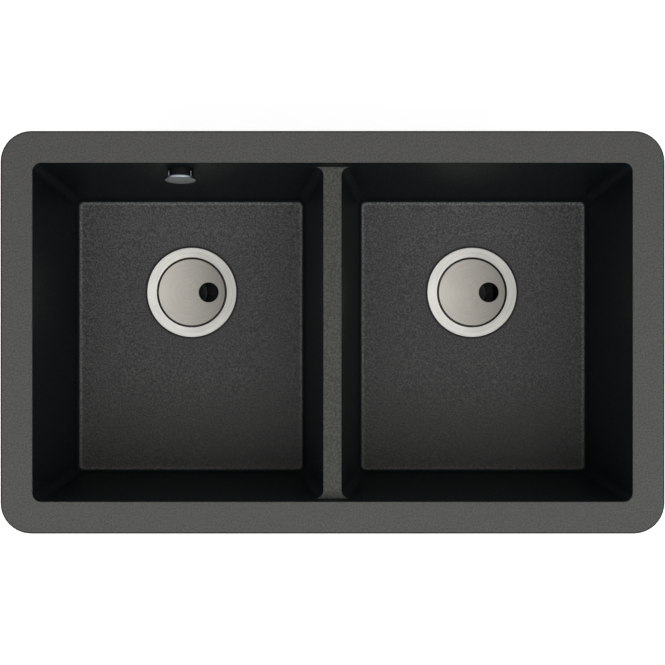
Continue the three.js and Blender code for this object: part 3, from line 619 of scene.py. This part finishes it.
def wasteFlange():
    lip, mouth, mouthTop, top, under, shelf, foot, floor, sheet, bore = (
        flange[key]
        for key in ("lip", "mouth", "mouthTop", "top", "under", "shelf", "foot", "floor", "sheet", "bore")
    )
    wall = mouth - flange["shelfWidth"]
    shape = turned([
        (bore, floor - sheet),
        (foot - 0.6, floor - sheet),
        (wall + sheet, shelf - sheet),
        (mouth + sheet, shelf - sheet),
        (mouth + sheet, under),
        (lip - 0.3, under),
        (lip, under + 0.5),
        (lip - 0.5, top),
        (mouthTop, top - flange["dish"]),
        (mouthTop - 0.7, top - 1.4),
        (mouth + 0.3, top - 4.5),
        (mouth, shelf),
        (wall, shelf),
        (foot - 1.6, floor),
        (bore, floor),
    ], 128)
    rounded(shape, ringAt(shape, mouthTop, top - flange["dish"]), 0.25, 3)
    rounded(shape, ringAt(shape, lip - 0.5, top), 0.4, 3)
    rounded(shape, ringAt(shape, foot - 0.6, floor - sheet), 3, 5)
    rounded(shape, ringAt(shape, foot - 1.6, floor), 2, 4)
    for radius, level in ((mouth, shelf), (wall, shelf)):
        rounded(shape, ringAt(shape, radius, level), 0.4, 3)
    slots = []
    for index in range(flange["slots"]):
        low, high = floor - 2 * sheet, floor + sheet
        near, far = flange["slotIn"], flange["slotOut"]
        slot = turned([(near, low), (far, low), (far, high), (near, high)], 10, flange["slotAngle"])
        rounded(slot, [edge for edge in edgesAlong(slot, 2) if edge.calc_face_angle(0) > 1], 2, 3)
        slots.append(swung(slot, index * 360 / flange["slots"]))
    return combined(shape, slots)


gaskets = {"rim": (46, 56.15, -2.2, -1.2), "floor": (45.5, 55.5, -15.3, -12.3)}


def flatRing(inner, outer, bottom, top, soft=0.3, steps=96):
    return softened(turned([(inner, bottom), (outer, bottom), (outer, top), (inner, top)], steps), soft, 3)


def ribbedRing(inner, outer, bottom, top):
    # a gasket with two raised sealing beads on each face
    bead = (top - bottom) * 0.12
    middle = [inner + (outer - inner) * share for share in (0.2, 0.3, 0.4, 0.6, 0.7, 0.8)]
    outline = [(inner, bottom + bead)]
    for index, radius in enumerate(middle):
        outline.append((radius, bottom if index in (1, 4) else bottom + bead))
    outline += [(outer, bottom + bead), (outer, top - bead)]
    for index, radius in reversed(list(enumerate(middle))):
        outline.append((radius, top if index in (1, 4) else top - bead))
    outline.append((inner, top - bead))
    return turned(outline, 96)


wasteBody = {
    "top": -15.6, "flange": 56, "flangeThickness": 3, "cup": 49, "wall": 3, "cupDepth": 40, "taper": 3,
    "outlet": 23.9, "bore": 20, "outletLength": 34, "funnel": 7, "gussets": 8, "gussetDrop": 9,
    "gussetThickness": 2.5, "hub": 7, "hubLength": 10, "spokes": 3, "threads": 9, "threadPitch": 3,
    "threadDepth": 1.1, "spigotDrop": 30, "spigot": 12, "spigotBore": 8.5, "spigotLength": 13,
}


def wasteCup(spigot):
    top, wall, cup, reach, outlet, bore, pitch = (
        wasteBody[key] for key in ("top", "wall", "cup", "flange", "outlet", "bore", "threadPitch")
    )
    ledge, foot = top - wasteBody["flangeThickness"], cup - wasteBody["taper"]
    cupBottom = top - wasteBody["cupDepth"]
    outletTop = cupBottom - wasteBody["funnel"]
    bottom = outletTop - wasteBody["outletLength"]
    outline = [(bore, bottom), (outlet - 1.6, bottom)]
    for index in range(wasteBody["threads"]):
        low = bottom + 1.5 + index * pitch
        outline += [
            (outlet - wasteBody["threadDepth"], low),
            (outlet, low + 0.35 * pitch),
            (outlet, low + 0.55 * pitch),
            (outlet - wasteBody["threadDepth"], low + 0.9 * pitch),
        ]
    outline += [
        (outlet, bottom + 3 + wasteBody["threads"] * pitch),
        (outlet, outletTop),
        (foot, cupBottom),
        (cup, ledge),
        (reach, ledge),
        (reach, top),
        (cup - wall, top),
        (foot - wall, cupBottom + wall / 2),
        (bore, outletTop + wall / 2),
    ]
    shape = turned(outline, 96)
    rounded(shape, ringAt(shape, foot, cupBottom), 4, 5)
    rounded(shape, ringAt(shape, outlet, outletTop), 2, 4)
    for level in (top, ledge):
        rounded(shape, ringAt(shape, reach, level), 0.6, 3)
    hubTop = flange["floor"] - flange["sheet"] - seatGap
    hubBottom = hubTop - wasteBody["hubLength"]
    added = [rod(wasteBody["hub"], hubBottom, hubTop, 48)]
    for index in range(wasteBody["spokes"]):
        spoke = bar((4, foot - wall / 2), (-1.25, 1.25), (hubBottom, hubTop - 2.5))
        added.append(swung(softened(spoke, 0.4), 270 + index * 360 / wasteBody["spokes"]))
    for index in range(wasteBody["gussets"]):
        half = wasteBody["gussetThickness"] / 2
        low = ledge - wasteBody["gussetDrop"]
        gusset = bar((cup - wall / 2, reach - 1), (-half, half), (low, top - 1.5))
        for vert in gusset.verts:
            if vert.co.x / mm > cup and vert.co.z / mm < low + 1:
                vert.co.z = ledge * mm
        added.append(swung(softened(gusset, 0.5), (index + 0.5) * 360 / wasteBody["gussets"]))
    removed = [rod(flange["bore"], hubBottom - 1, hubTop + 1, 32)]
    if spigot:
        axis = top - wasteBody["spigotDrop"]
        end = cup + wasteBody["spigotLength"]
        pipe = softened(rod(wasteBody["spigot"], cup - wall, end, 48), 0.7, 3)
        bead = softened(rod(wasteBody["spigot"] + 1.2, cup - 1, cup + 2.2, 48), 0.6, 3)
        added += [moved(swung(item, -90, "X"), (0, 0, axis)) for item in (pipe, bead)]
        removed.append(moved(swung(rod(wasteBody["spigotBore"], cup - 9, end + 1, 48), -90, "X"), (0, 0, axis)))
    return combined(combined(shape, added, "UNION"), removed)


screw = {"radius": 3, "head": 5.5, "headHeight": 2.8, "length": 11, "slot": 1.2}


def centreScrew():
    head = flange["floor"] + seatGap
    pitch = 1.0
    outline = [(0, head - screw["length"]), (screw["radius"] - 0.9, head - screw["length"])]
    for index in range(8):
        low = head - screw["length"] + 0.8 + index * pitch
        outline += [(screw["radius"] - 0.5, low), (screw["radius"], low + 0.5 * pitch)]
    outline += [
        (screw["radius"] - 0.4, head - 1.2),
        (screw["radius"] - 0.4, head),
        (screw["head"], head),
        (screw["head"], head + screw["headHeight"]),
        (0, head + screw["headHeight"]),
    ]
    shape = turned(outline, 48)
    rounded(shape, ringAt(shape, screw["head"], head + screw["headHeight"]), 1.1, 4)
    half = screw["slot"] / 2
    slot = bar((-half, half), (-9, 9), (head + screw["headHeight"] - 1.3, head + 5))
    return combined(shape, [slot])


basket = {
    "rim": 42.6, "rimUnder": -9.7, "under": -35.7, "sheet": 1, "wallTop": 40.2, "wallFoot": 32,
    "footRadius": 3, "hole": 3.2, "rows": 2, "count": 12, "bottomHole": 3, "bottomRing": 24,
    "bottomCount": 8, "bore": 3.4,
}


def strainerBasket():
    rim, rimUnder, under, sheet, wallTop, wallFoot, bore = (
        basket[key] for key in ("rim", "rimUnder", "under", "sheet", "wallTop", "wallFoot", "bore")
    )
    lean = (wallTop - wallFoot) / (rimUnder - under)
    shape = turned([
        (bore, under),
        (wallFoot, under),
        (wallTop, rimUnder),
        (rim, rimUnder),
        (rim, rimUnder + sheet),
        (wallTop - sheet, rimUnder + sheet),
        (wallFoot - sheet + sheet * lean, under + sheet),
        (bore, under + sheet),
    ], 96)
    rounded(shape, ringAt(shape, wallFoot, under), basket["footRadius"], 5)
    rounded(shape, ringAt(shape, wallFoot - sheet + sheet * lean, under + sheet), 2.2, 5)
    rounded(shape, ringAt(shape, wallTop - sheet, rimUnder + sheet), 1.2, 4)
    rounded(shape, ringAt(shape, rim, rimUnder + sheet), 0.35, 3)
    holes = []
    height = rimUnder - under
    for row in range(basket["rows"]):
        level = under + (row + 1) * height / (basket["rows"] + 1)
        for index in range(basket["count"]):
            hole = swung(rod(basket["hole"], wallFoot / 2, rim, 20), 90, "Y")
            holes.append(swung(moved(hole, (0, 0, level)), (index + row / 2 + 0.25) * 360 / basket["count"]))
    for index in range(basket["bottomCount"]):
        hole = rod(basket["bottomHole"], under - 1, under + 2, 20)
        holes.append(swung(moved(hole, (basket["bottomRing"], 0, 0)), index * 360 / basket["bottomCount"]))
    return combined(shape, holes)


knob = {
    "radius": 20, "thickness": 5, "neck": 6, "foot": 8, "top": -13.5, "bottom": -34.4, "pin": 3,
    "pinLength": 3,
}


def basketKnob():
    radius, neck, foot, top, bottom = (knob[key] for key in ("radius", "neck", "foot", "top", "bottom"))
    under = top - knob["thickness"]
    shape = turned([
        (0, bottom - knob["pinLength"]),
        (knob["pin"], bottom - knob["pinLength"]),
        (knob["pin"], bottom),
        (foot, bottom),
        (neck, bottom + 3),
        (neck, under - 2.5),
        (neck + 3, under),
        (radius, under + 0.8),
        (radius, top),
        (radius - 5, top),
        (radius - 6.5, top - 0.8),
        (0, top - 0.8),
    ], 72)
    rounded(shape, ringAt(shape, radius, top), 1.8, 5)
    rounded(shape, ringAt(shape, radius, under + 0.8), 1.2, 4)
    rounded(shape, ringAt(shape, neck + 3, under), 2, 4)
    return rounded(shape, ringAt(shape, foot, bottom), 0.6, 2)


holder = {
    "radius": 18, "under": -38.4, "top": -36.0, "bossBore": 6.3, "boss": 8.7, "bossDepth": 2.3,
    "bore": 3.4,
}


def plugHolder():
    under, top = holder["under"], holder["top"]
    shape = turned([
        (0, under),
        (holder["bossBore"], under),
        (holder["bossBore"], under - holder["bossDepth"]),
        (holder["boss"], under - holder["bossDepth"]),
        (holder["boss"], under),
        (holder["radius"], under),
        (holder["radius"], top),
        (holder["bore"], top),
        (holder["bore"], top - 1.4),
        (0, top - 1.4),
    ], 72)
    return softened(shape, 0.35, 3)


seal = {"inner": 9, "outer": 29, "lip": 1, "top": -38.7, "thickness": 3}


def plugSeal():
    # a disc of rubber with two thin lips round its edge
    bottom = seal["top"] - seal["thickness"]
    outer, lip = seal["outer"], seal["lip"]
    shape = turned([
        (seal["inner"], bottom),
        (outer - 2 * lip, bottom),
        (outer, bottom + 0.7),
        (outer, bottom + 1.1),
        (outer - 1.6 * lip, bottom + 1.5),
        (outer - 0.6 * lip, bottom + 1.9),
        (outer - 0.6 * lip, bottom + 2.2),
        (holder["radius"] + 4, seal["top"]),
        (seal["inner"], seal["top"]),
    ], 96)
    return rounded(shape, ringAt(shape, seal["inner"], seal["top"]), 0.4, 3)


cover = {
    "radius": 42.2, "top": 0.6, "thickness": 1.5, "edge": 0.5, "footOut": 41.2, "footIn": 39.2,
    "footBottom": -8.4, "window": 46, "hole": 12.4, "holeAt": 21.3, "dish": 1,
}


def drainCover():
    # two circles bridged into a disc with its finger hole, then thickened, dished and edged
    plate = bmesh.new()
    top = cover["top"] * mm
    for radius, steps, x in ((cover["radius"], 128, 0), (cover["hole"], 64, cover["holeAt"])):
        place = Matrix.Translation((x * mm, 0, top))
        bmesh.ops.create_circle(plate, cap_ends=False, segments=steps, radius=radius * mm, matrix=place)
    between = bmesh.ops.bridge_loops(plate, edges=plate.edges)["edges"]
    bmesh.ops.subdivide_edges(plate, edges=between, cuts=9, use_grid_fill=True)
    lifted = bmesh.ops.extrude_face_region(plate, geom=plate.faces[:])["geom"]
    lower = [item for item in lifted if isinstance(item, bmesh.types.BMVert)]
    bmesh.ops.translate(plate, vec=(0, 0, -cover["thickness"] * mm), verts=lower)
    bmesh.ops.recalc_face_normals(plate, faces=plate.faces)
    upper = [edge for edge in sharpEdges(plate) if min(vert.co.z for vert in edge.verts) > top - 0.0001]
    rounded(plate, upper, cover["edge"], 3)
    for vert in plate.verts:
        share = min(vert.co.xy.length / mm / (cover["radius"] - cover["edge"]), 1)
        vert.co.z -= cover["dish"] * (1 - share * share) * mm
    skirt = flatRing(cover["footIn"], cover["footOut"], cover["footBottom"], cover["top"] - 1.2, 0.25)
    half, reach = cover["window"] / 2, cover["radius"] + 2
    below = cover["footBottom"] - 1, cover["top"] - cover["thickness"]
    windows = [bar((-reach, reach), (-half, half), below), bar((-half, half), (-reach, reach), below)]
    return combined(plate, [combined(skirt, windows)], "UNION")


# each look's painted sheen runs pale towards "toward" and darker away from it; "shade" paints the right waste's
# steel darker to even the two out, because it stands nearer to the stronger side light
steel = {
    "lip": {
        "base": (0.285, 0.28, 0.264), "paintedSheen": 0.228, "toward": (-0.958, -0.285), "marks": 1.4,
        "lines": 1.3, "rings": 900, "rough": 0.36, "streak": 0.07, "across": 0.6,
    },
    "disc": {
        "base": (0.177, 0.169, 0.152), "paintedSheen": 0.452, "toward": (-0.986, -0.166), "marks": 0.4,
        "lines": 0.15, "rings": 2500, "rough": 0.36, "streak": 0.08, "across": 0.6,
    },
    "turned": {
        "base": (0.6, 0.59, 0.57), "paintedSheen": 0.05, "toward": (-1, 0), "marks": 1.0, "lines": 0.5,
        "rings": 2500, "rough": 0.24, "streak": 0.05, "across": 0.3,
    },
    "shade": {"left": 1.0, "right": 0.957},
}

for side, at in wasteAt.items():
    centre = at[0] * mm, at[1] * mm
    lipSteel, discSteel, turnedSteel = (
        steelFinish(side + look.capitalize() + "Steel", centre, steel[look], steel["shade"][side])
        for look in ("lip", "disc", "turned")
    )
    parts = {
        "waste_flange": (wasteFlange(), "Flange", "sink", "brushed_steel", lipSteel),
        "rim_gasket": (flatRing(*gaskets["rim"], 0.25), "RimGasket", "sink", "black_rubber", blackRubber),
        "floor_gasket": (ribbedRing(*gaskets["floor"]), "FloorGasket", "sink", "black_rubber", blackRubber),
        "waste_body": (wasteCup(side == "left"), "WasteBody", "sink", "white_plastic", whitePlastic),
        "centre_screw": (centreScrew(), "CentreScrew", "sink", "brushed_steel", turnedSteel),
        "strainer_basket": (strainerBasket(), "Basket", side + "_basket", "black_plastic", blackPlastic),
        "basket_knob": (basketKnob(), "Knob", side + "_basket", "black_plastic", blackPlastic),
        "plug_holder": (plugHolder(), "PlugHolder", side + "_basket", "black_plastic", blackPlastic),
        "plug_seal": (plugSeal(), "PlugSeal", side + "_basket", "black_rubber", blackRubber),
        "drain_cover": (drainCover(), "Cover", side + "_cover", "brushed_steel", discSteel),
    }
    for node, (shape, name, body, slot, material) in parts.items():
        finished(moved(shape, at), side + name, body, side + "_" + node, material)
    print(side, "waste made")

# the overflow: a chrome disc on a drum, the sleeve through the wall, and the elbow behind it
cap = {
    "radius": 18.2, "thickness": 2, "edge": 0.7, "standOff": 10.5, "drum": 15.2, "drumWall": 1.8,
    "seat": seatGap, "windows": 3, "windowWidth": 8, "windowHeight": 5, "windowSpread": 50, "legAt": 12.9,
    "lip": 1.3, "lipDepth": 0.7,
}


def overflowDisc():
    back, front = cap["standOff"], cap["standOff"] + cap["thickness"]
    inner, low = cap["radius"] - cap["lip"], back - cap["lipDepth"]
    outline = [(0, back), (inner, back), (inner, low), (cap["radius"], low), (cap["radius"], front), (0, front)]
    shape = turned(outline, 96)
    rounded(shape, ringAt(shape, cap["radius"], front), cap["edge"], 4)
    rounded(shape, ringAt(shape, cap["radius"], low), 0.4, 3)
    legs = []
    for x in (-cap["legAt"], cap["legAt"]):
        legs.append(softened(bar((x - 0.45, x + 0.45), (5, 8.8), (3, back + 0.5)), 0.25))
    return placed(combined(shape, legs, "UNION"), overflowPlace)


def overflowDrum():
    inner, top = cap["drum"] - cap["drumWall"], cap["standOff"] - 0.05
    shape = turned([(inner, top), (inner, cap["seat"]), (cap["drum"], cap["seat"]), (cap["drum"], top)], 96)
    for radius in (inner, cap["drum"]):
        rounded(shape, ringAt(shape, radius, cap["seat"]), 0.3, 2)
    windows = []
    for index in range(cap["windows"]):
        half = cap["windowWidth"] / 2
        low = (cap["standOff"] - cap["windowHeight"]) / 2
        window = bar((-half, half), (inner - 2, cap["drum"] + 2), (low, low + cap["windowHeight"]))
        rounded(window, edgesAlong(window, 1), 1.2, 3)
        windows.append(swung(window, 180 + (index - (cap["windows"] - 1) / 2) * cap["windowSpread"]))
    return placed(combined(shape, windows), overflowPlace)


collar = {"radius": 11.4, "wall": 1.6, "flange": 13, "flangeThickness": 1.5, "end": -19.54}


def overflowCollar():
    bore = collar["radius"] - collar["wall"]
    flangeTop = cap["seat"] + collar["flangeThickness"]
    outline = [(bore, collar["end"]), (collar["radius"], collar["end"]), (collar["radius"], cap["seat"])]
    outline += [(collar["flange"], cap["seat"]), (collar["flange"], flangeTop), (bore, flangeTop)]
    return placed(softened(turned(outline, 72), 0.3, 3), overflowPlace)


elbow = {
    "radius": 17.5, "chamber": 12.2, "mouth": -11.54, "reach": -39.04, "end": 3, "pipe": 12, "bore": 8.5,
    "behind": 24.04,
}


def overflowElbow():
    barrel = softened(rod(elbow["radius"], elbow["reach"], elbow["mouth"], 96), 1.5, 4)
    band = softened(rod(elbow["radius"], elbow["mouth"] - 5, elbow["mouth"], 96), 0.4, 2)
    barrel = combined(barrel, [band], "UNION")
    chamber = rod(elbow["chamber"], elbow["reach"] + elbow["end"], elbow["mouth"] + 1, 72)
    pipeEnd = hose["top"][2] - overflowSeat.z
    pipe = softened(rod(elbow["pipe"], pipeEnd, -elbow["chamber"], 64), 0.7, 3)
    spigot = moved(pipe, (0, elbow["behind"], 0))
    bore = moved(rod(elbow["bore"], pipeEnd - 1, 0, 48), (0, elbow["behind"], 0))
    whole = combined(placed(barrel, overflowTurn), [spigot], "UNION")
    return moved(combined(whole, [placed(chamber, overflowTurn), bore]), overflowSeat)


hose = {
    "top": (-178, 215.17, -64.95), "end": (-178, 117.8, -245.6), "straight": 9, "radius": 12, "rib": 1.5,
    "bore": 8.5, "ribs": 50,
}


def ribbedHose():
    # a straight ribbed tube, then led down behind the bowl and forward under it
    top, end = Vector(hose["top"]), Vector(hose["end"])
    bend = top.y - end.y - hose["straight"]
    fall = top.z - seatGap - end.z - bend
    arc = bend * math.pi / 2
    length = fall + arc + hose["straight"]
    pitch = length / hose["ribs"]
    valley = hose["radius"] - hose["rib"]
    outline = []
    shoulder, crest = valley + 0.75 * hose["rib"], hose["radius"]
    profile = ((0.1, valley), (0.3, shoulder), (0.42, crest), (0.62, crest), (0.74, shoulder), (0.92, valley))
    for index in range(hose["ribs"]):
        outline += [(radius, (index + share) * pitch) for share, radius in profile]
    outline = [(valley, 0), *outline, (valley, length)]
    outline += [(hose["bore"], length - index * length / 50) for index in range(51)]
    shape = turned(outline, 32)
    for vert in shape.verts:
        x, across, along = vert.co / mm
        turn = min(max((along - fall) / bend, 0), math.pi / 2)
        rest = max(along - fall - arc, 0)
        centreY = top.y - bend * (1 - math.cos(turn)) - rest
        centreZ = top.z - seatGap - min(along, fall) - bend * math.sin(turn)
        y, z = centreY - across * math.cos(turn), centreZ + across * math.sin(turn)
        vert.co = Vector((top.x + x, y, z)) * mm
    return shape


nut = {"bore": 12.6, "radius": 15.2, "length": 16, "grips": 20, "grip": 0.8}


def hoseNut():
    half = nut["length"] / 2
    core = nut["radius"] - nut["grip"]
    shape = flatRing(nut["bore"], core, -half, half, 0.5, 80)
    grips = []
    for index in range(nut["grips"]):
        grip = softened(bar((core - 0.6, nut["radius"]), (-1.1, 1.1), (1.5 - half, half - 1.5)), 0.5)
        grips.append(swung(grip, index * 360 / nut["grips"]))
    return combined(shape, grips, "UNION")


washer = {"inner": 12.2, "outer": 18.5, "thickness": 2, "edge": 0.5}


def overflowWasher():
    top = -moulding["wall"] * math.cos(math.radians(moulding["draft"])) - seatGap
    shape = flatRing(washer["inner"], washer["outer"], top - washer["thickness"], top, washer["edge"])
    return placed(shape, overflowPlace)


finished(overflowDisc(), "overflowDisc", "sink", "overflow_cap", chrome)
# the drum is black plastic, a painted dark reflection standing in for its chrome
finished(overflowDrum(), "overflowDrum", "sink", "overflow_cap", blackPlastic)
finished(overflowCollar(), "overflowCollar", "sink", "overflow_collar", greyPlastic)
finished(overflowWasher(), "overflowWasher", "sink", "overflow_washer", blackRubber)
finished(overflowElbow(), "overflowElbow", "sink", "overflow_elbow", whitePlastic)
finished(ribbedHose(), "overflowHose", "sink", "overflow_hose", greyPlastic)
finished(moved(hoseNut(), hose["top"]), "hoseTopNut", "sink", "hose_top_nut", whitePlastic)
bottomNut = moved(swung(hoseNut(), 90, "X"), hose["end"])
finished(bottomNut, "hoseBottomNut", "sink", "hose_bottom_nut", whitePlastic)
print("overflow made")

# a pale floor under the sink, and a white room that the camera and polished metal see
stageSetup = {"size": 14, "height": -0.2972, "colour": (0.8, 0.8, 0.8, 1), "rough": 0.9, "glow": 0.75}


def seenRays(tree):
    # 1 for the rays that look at the room, straight or by way of metal or glass
    rays = linked(tree, "ShaderNodeLightPath").outputs
    looking = reckoned(tree, "MAXIMUM", rays["Is Camera Ray"], rays["Is Glossy Ray"])
    return reckoned(tree, "MAXIMUM", looking, rays["Is Transmission Ray"])


bpy.ops.mesh.primitive_plane_add(size=stageSetup["size"], location=(0, 0, stageSetup["height"]))
floor = bpy.context.object
floor.name = "floor"
paleFloor, tree, shader, place = newMaterial("paleFloor", Roughness=stageSetup["rough"])
shader.inputs["Base Color"].default_value = stageSetup["colour"]
strength = reckoned(tree, "MULTIPLY", seenRays(tree), stageSetup["glow"])
glow = linked(tree, "ShaderNodeEmission", {"Color": (1, 1, 1, 1), "Strength": strength})
both = linked(tree, "ShaderNodeAddShader", {0: shader.outputs[0], 1: glow.outputs[0]})
tree.links.new(both.outputs[0], tree.nodes["Material Output"].inputs["Surface"])
floor.data.materials.append(paleFloor)

world = bpy.data.worlds.new("room")
world.use_nodes = True
scene.world = world
tree = world.node_tree
level = spread(tree, seenRays(tree), lampSetup["room"], 1.0)
tree.links.new(level, tree.nodes["Background"].inputs["Strength"])
tree.nodes["Background"].inputs["Color"].default_value = (1, 1, 1, 1)
print("stage set")
